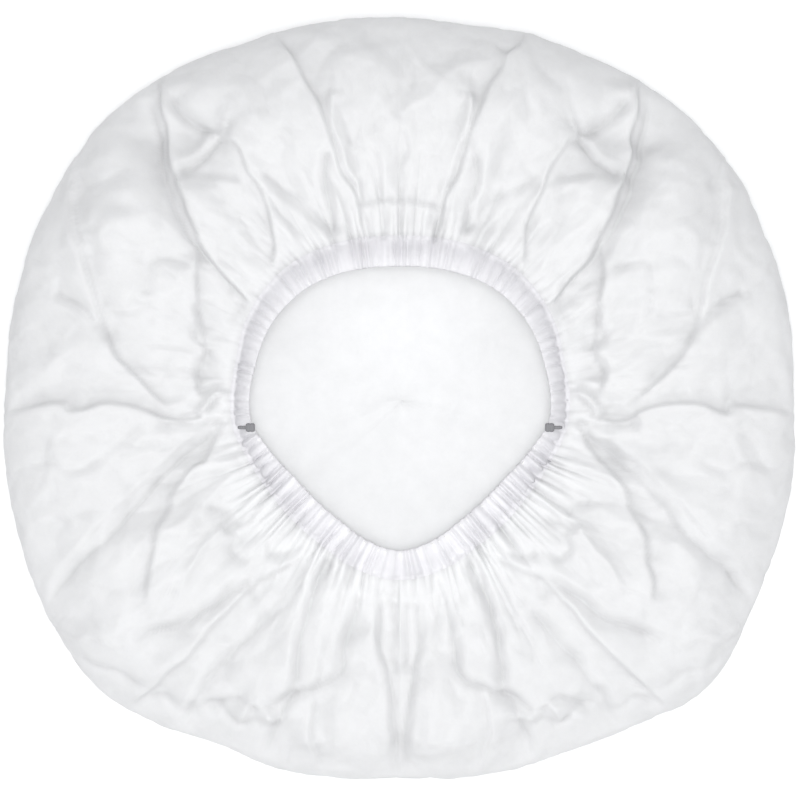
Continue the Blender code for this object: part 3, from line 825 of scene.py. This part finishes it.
def make_hem(settled):
    count = 960
    turn = np.arange(count) / count
    edge, out, up = hem_frame(turn)
    pleats = hem_pleats(turn)
    rows = []
    for reach, lift, share in HEM_SECTION:
        spot = np.stack([turn * 140, np.full(count, reach * 3 + (lift > 0)), np.zeros(count)], -1)
        raised = lift + pleats * share + noise(spot, 61) * 0.00025
        if 0.03 < reach < 0.5:
            room = ELASTIC_ROOM if lift > 0 else -ELASTIC_ROOM
            raised = np.maximum(raised, room) if lift > 0 else np.minimum(raised, room)
        scallop = pleats * max(0.0, 1 - reach * 3) * 0.35
        rows.append(edge + out * (reach * HEM_WIDTH - scallop)[:, None] + up * raised[:, None])
    for place, under in HEM_TUCK:
        row = settled_points(turn, np.full(count, place), settled)
        row[:, 2] -= under
        rows.insert(0, row)
    corners = len(rows)
    points = np.stack(rows, axis=1).reshape(-1, 3)
    faces = []
    for k in range(count):
        n = (k + 1) % count
        for j in range(corners):
            m = (j + 1) % corners
            faces.append((k * corners + j, k * corners + m, n * corners + m, n * corners + j))
    hem = mesh_object("hem_pleats", points, faces)
    layer = hem.data.uv_layers.new(name="cloth")
    for loop in hem.data.loops:
        k, j = divmod(loop.vertex_index, corners)
        layer.data[loop.index].uv = (k / count * 1.66, 0.3 + j * 0.0016)
    return hem


def make_elastic():
    """The thin elastic in the hem's channel."""
    count = 480
    edge, out, up = hem_frame(np.arange(count) / count)
    near, far = (share * HEM_WIDTH for share in ELASTIC_REACH)
    half = ELASTIC_THICKNESS / 2
    rows = []
    for reach, lift in ((near, half), (far, half), (far, -half), (near, -half)):
        rows.append(edge + out * reach + up * lift)
    points = np.stack(rows, axis=1).reshape(-1, 3)
    faces = []
    for k in range(count):
        n = (k + 1) % count
        for j in range(4):
            m = (j + 1) % 4
            faces.append((k * 4 + j, k * 4 + m, n * 4 + m, n * 4 + j))
    return mesh_object("elastic_tape", points, faces)


def rounded_block(middle, half, power, columns, rows, ribs):
    """Points and faces of a rounded block with fine ribs round it."""
    points, faces = [], []
    for j in range(rows + 1):
        down = math.pi * j / rows
        for k in range(columns):
            around = 2 * math.pi * k / columns
            wide = math.sin(down)
            shape = np.array([math.cos(down), wide * math.cos(around), wide * math.sin(around)])
            box = np.sign(shape) * np.abs(shape) ** power
            rib = 1 - 0.05 * (1 + math.cos(box[0] * ribs))
            points.append((middle[0] + box[0] * half[0], middle[1] + box[1] * half[1] * rib,
                           middle[2] + box[2] * half[2] * rib))
    for j in range(rows):
        for k in range(columns):
            n = (k + 1) % columns
            here, below = j * columns, (j + 1) * columns
            faces.append((here + k, below + k, below + n, here + n))
    return points, faces


def make_elastic_end(side, solid):
    """A joined end of the elastic: a small dark knot, and the cut cord that leaves it."""
    low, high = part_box(solid)
    middle = (low + high) / 2
    half = (high - low) / 2
    knot_half = half.x * KNOT_SHARE
    knot_x = middle.x - side * (half.x - knot_half)
    stub_half = half.x - knot_half + 0.0004
    stub_x = middle.x + side * (half.x - stub_half)
    knot_middle, knot_size = (knot_x, middle.y, middle.z), (knot_half, half.y, half.z)
    stub_middle, stub_size = (stub_x, middle.y, middle.z), (stub_half, half.y * 0.42, half.z * 0.55)
    points, faces = rounded_block(knot_middle, knot_size, 0.40, 48, 28, 24.0)
    stub_points, stub_faces = rounded_block(stub_middle, stub_size, 0.55, 24, 20, 30.0)
    first = len(points)
    points += stub_points
    faces += [tuple(corner + first for corner in face) for face in stub_faces]
    return mesh_object("elastic_end_" + ("right" if side > 0 else "left"), points, faces)


def node_tree(name):
    material = bpy.data.materials.new(name)
    material.use_nodes = True
    nodes, links = material.node_tree.nodes, material.node_tree.links
    nodes.clear()
    return material, nodes, links


def nonwoven_material(name, colour, clear, painted_middle_light):
    """Spunbond nonwoven: matt and cloudy, lets light through, with fibres and fine crumple.

    clear is the share of light that passes, and the last argument paints light into the cloth's
    colour towards its middle; the colour also carries painted shade in concave creases.
    """
    material, nodes, links = node_tree(name)
    end = nodes.new("ShaderNodeOutputMaterial")
    shader = nodes.new("ShaderNodeBsdfPrincipled")
    shader.inputs["Roughness"].default_value = 0.78
    shader.inputs["Specular IOR Level"].default_value = 0.25
    through = nodes.new("ShaderNodeBsdfTranslucent")
    mix = nodes.new("ShaderNodeMixShader")
    mix.inputs[0].default_value = clear
    place = nodes.new("ShaderNodeTexCoord")
    clouds = nodes.new("ShaderNodeTexNoise")
    clouds.inputs["Scale"].default_value = 120.0
    clouds.inputs["Detail"].default_value = 6.0
    clouds.inputs["Roughness"].default_value = 0.72
    ramp = nodes.new("ShaderNodeValToRGB")
    ramp.color_ramp.elements[0].position = 0.32
    ramp.color_ramp.elements[1].position = 0.68
    low = tuple(c * 0.955 for c in colour)
    ramp.color_ramp.elements[0].color = (*low, 1)
    ramp.color_ramp.elements[1].color = (*colour, 1)
    middle = nodes.new("ShaderNodeUVMap")
    middle.uv_map = "cloth"
    apart = nodes.new("ShaderNodeVectorMath")
    apart.operation = "LENGTH"
    # Painted light: the colour is made lighter towards the middle of the cloth's flat layout, on
    # the sole, fading out towards the rim
    fade = nodes.new("ShaderNodeMapRange")
    fade.interpolation_type = "SMOOTHSTEP"
    fade.inputs["From Min"].default_value = 0.085
    fade.inputs["From Max"].default_value = 0.150
    fade.inputs["To Min"].default_value = painted_middle_light
    fade.inputs["To Max"].default_value = 1.0
    colour_with_painted_light_and_shade = nodes.new("ShaderNodeVectorMath")
    colour_with_painted_light_and_shade.operation = "SCALE"
    links.new(middle.outputs["UV"], apart.inputs[0])
    links.new(apart.outputs["Value"], fade.inputs["Value"])
    links.new(ramp.outputs["Color"], colour_with_painted_light_and_shade.inputs[0])
    # Painted shade: the colour darkens by up to a tenth where the surface is concave, so creases
    # and gathers show dark lines
    bend = nodes.new("ShaderNodeNewGeometry")
    shade = nodes.new("ShaderNodeMapRange")
    shade.inputs["From Min"].default_value = 0.44
    shade.inputs["From Max"].default_value = 0.50
    shade.inputs["To Min"].default_value = 0.90
    shade.inputs["To Max"].default_value = 1.0
    painted_shade_and_light = nodes.new("ShaderNodeMath")
    painted_shade_and_light.operation = "MULTIPLY"
    links.new(bend.outputs["Pointiness"], shade.inputs["Value"])
    links.new(shade.outputs["Result"], painted_shade_and_light.inputs[0])
    links.new(fade.outputs["Result"], painted_shade_and_light.inputs[1])
    links.new(painted_shade_and_light.outputs[0], colour_with_painted_light_and_shade.inputs["Scale"])
    fibres = nodes.new("ShaderNodeTexNoise")
    fibres.inputs["Scale"].default_value = 1400.0
    fibres.inputs["Detail"].default_value = 3.0
    bump = nodes.new("ShaderNodeBump")
    bump.inputs["Strength"].default_value = 0.35
    bump.inputs["Distance"].default_value = 0.00012
    crease = nodes.new("ShaderNodeTexNoise")
    crease.noise_type = "RIDGED_MULTIFRACTAL"
    crease.inputs["Scale"].default_value = 75.0
    crease.inputs["Detail"].default_value = 4.0
    crease.inputs["Roughness"].default_value = 0.6
    paper = nodes.new("ShaderNodeBump")
    paper.inputs["Strength"].default_value = 0.8
    paper.inputs["Distance"].default_value = 0.0020
    links.new(place.outputs["Object"], crease.inputs["Vector"])
    links.new(crease.outputs["Fac"], paper.inputs["Height"])
    links.new(paper.outputs["Normal"], bump.inputs["Normal"])
    links.new(place.outputs["Object"], clouds.inputs["Vector"])
    links.new(place.outputs["Object"], fibres.inputs["Vector"])
    links.new(clouds.outputs["Fac"], ramp.inputs["Fac"])
    links.new(colour_with_painted_light_and_shade.outputs["Vector"], shader.inputs["Base Color"])
    links.new(colour_with_painted_light_and_shade.outputs["Vector"], through.inputs["Color"])
    links.new(fibres.outputs["Fac"], bump.inputs["Height"])
    links.new(bump.outputs["Normal"], shader.inputs["Normal"])
    links.new(bump.outputs["Normal"], through.inputs["Normal"])
    links.new(shader.outputs[0], mix.inputs[1])
    links.new(through.outputs[0], mix.inputs[2])
    links.new(mix.outputs[0], end.inputs[0])
    return material


def elastic_material(name, colour, weave):
    """Covered elastic: matt thread wound across its length."""
    material, nodes, links = node_tree(name)
    end = nodes.new("ShaderNodeOutputMaterial")
    shader = nodes.new("ShaderNodeBsdfPrincipled")
    shader.inputs["Roughness"].default_value = 0.62
    place = nodes.new("ShaderNodeTexCoord")
    threads = nodes.new("ShaderNodeTexWave")
    threads.inputs["Scale"].default_value = weave
    threads.inputs["Distortion"].default_value = 1.2
    threads.inputs["Detail"].default_value = 1.0
    ramp = nodes.new("ShaderNodeValToRGB")
    ramp.color_ramp.elements[0].color = (*(c * 0.72 for c in colour), 1)
    ramp.color_ramp.elements[1].color = (*colour, 1)
    bump = nodes.new("ShaderNodeBump")
    bump.inputs["Strength"].default_value = 0.5
    bump.inputs["Distance"].default_value = 0.0001
    links.new(place.outputs["Object"], threads.inputs["Vector"])
    links.new(threads.outputs["Fac"], ramp.inputs["Fac"])
    links.new(threads.outputs["Fac"], bump.inputs["Height"])
    links.new(ramp.outputs["Color"], shader.inputs["Base Color"])
    links.new(bump.outputs["Normal"], shader.inputs["Normal"])
    links.new(shader.outputs[0], end.inputs[0])
    return material


def make_floor():
    bpy.ops.mesh.primitive_plane_add(size=6.0, location=(0, 0, 0))
    floor = bpy.context.object
    floor.name = "floor"
    material, nodes, links = node_tree("pale_floor")
    end = nodes.new("ShaderNodeOutputMaterial")
    shader = nodes.new("ShaderNodeBsdfPrincipled")
    shader.inputs["Base Color"].default_value = (0.96, 0.96, 0.96, 1)
    shader.inputs["Roughness"].default_value = 0.9
    links.new(shader.outputs[0], end.inputs[0])
    floor.data.materials.append(material)


LAMPS = (
    # name, place, diameter, power in watts
    ("front_soft", (0.0, -1.5, 0.90), 0.5, 5.5),
    ("top_soft", (0.0, 0.0, 1.9), 0.25, 11),
    ("near_soft", (0.0, 0.0, 0.50), 0.20, 0.8),
    ("left_soft", (-0.52, -0.20, 0.36), 0.25, 0.2),
    ("right_soft", (0.52, -0.20, 0.36), 0.25, 0.2),
)

# A narrow lamp over the mouth, and how far from its middle its light reaches
MOUTH_LAMP_PLACE = (0.0, -0.012, 1.9)
MOUTH_LAMP_REACH = 0.076


def make_lights():
    world = bpy.context.scene.world or bpy.data.worlds.new("studio")
    bpy.context.scene.world = world
    world.use_nodes = True
    back = world.node_tree.nodes["Background"]
    back.inputs[0].default_value = (0.975, 0.985, 1.0, 1)
    back.inputs[1].default_value = 0.76
    for name, location, size, power in LAMPS:
        add_light(name, location, size, power)
    spot = bpy.data.lights.new("mouth_light", "SPOT")
    spot.energy = 20.0
    spot.color = (0.97, 1.0, 1.0)
    spot.spot_size = 2 * math.atan(MOUTH_LAMP_REACH / (MOUTH_LAMP_PLACE[2] - CAP_HEIGHT))
    spot.spot_blend = 0.6
    spot.shadow_soft_size = 0.02
    thing = bpy.data.objects.new("mouth_light", spot)
    thing.location = MOUTH_LAMP_PLACE
    bpy.context.scene.collection.objects.link(thing)


def add_light(name, location, size, power):
    lamp = bpy.data.lights.new(name, "AREA")
    lamp.shape = "DISK"
    lamp.size = size
    lamp.energy = power
    thing = bpy.data.objects.new(name, lamp)
    thing.location = location
    towards = Vector((0, 0, 0.02)) - Vector(location)
    thing.rotation_euler = towards.to_track_quat("-Z", "Y").to_euler()
    bpy.context.scene.collection.objects.link(thing)


def make_camera():
    eye = bpy.data.cameras.new("photo_camera")
    eye.sensor_width = 36.0
    distance = 1.6
    level = CAP_HEIGHT * 0.5
    wide = PHOTO_SIDE * PIXEL
    eye.lens = eye.sensor_width * (distance - level) / wide
    thing = bpy.data.objects.new("photo_camera", eye)
    thing.location = (0.0, 0.0, distance)
    bpy.context.scene.collection.objects.link(thing)
    bpy.context.scene.camera = thing


def main():
    scene = bpy.context.scene
    scene.view_settings.view_transform = "Standard"
    make_camera()
    make_lights()
    make_floor()
    crown_material = nonwoven_material("nonwoven_crown", CROWN_TONE, CROWN_CLEAR, CROWN_PAINTED_MIDDLE_LIGHT)
    hem_material = nonwoven_material("nonwoven_hem", HEM_PAINTED_LIGHTER_TONE, HEM_CLEAR, 1.0)
    settled = let_cloth_settle()
    cloth = make_cloth(settled)
    cloth.data.materials.append(crown_material)
    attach(cloth, "root")
    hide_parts("crown")
    hem = make_hem(settled)
    hem.data.materials.append(hem_material)
    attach(hem, "root")
    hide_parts("hem_casing")
    tape = make_elastic()
    tape.data.materials.append(elastic_material("covered_elastic", ELASTIC_TONE, 700.0))
    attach(tape, "root")
    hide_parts("elastic_band")
    end_material = elastic_material("dark_elastic_end", KNOT_TONE, 420.0)
    for side, solid in ((-1, "elastic_joint_left"), (1, "elastic_joint_right")):
        end = make_elastic_end(side, solid)
        end.data.materials.append(end_material)
        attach(end, "root")
        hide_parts(solid)


main()
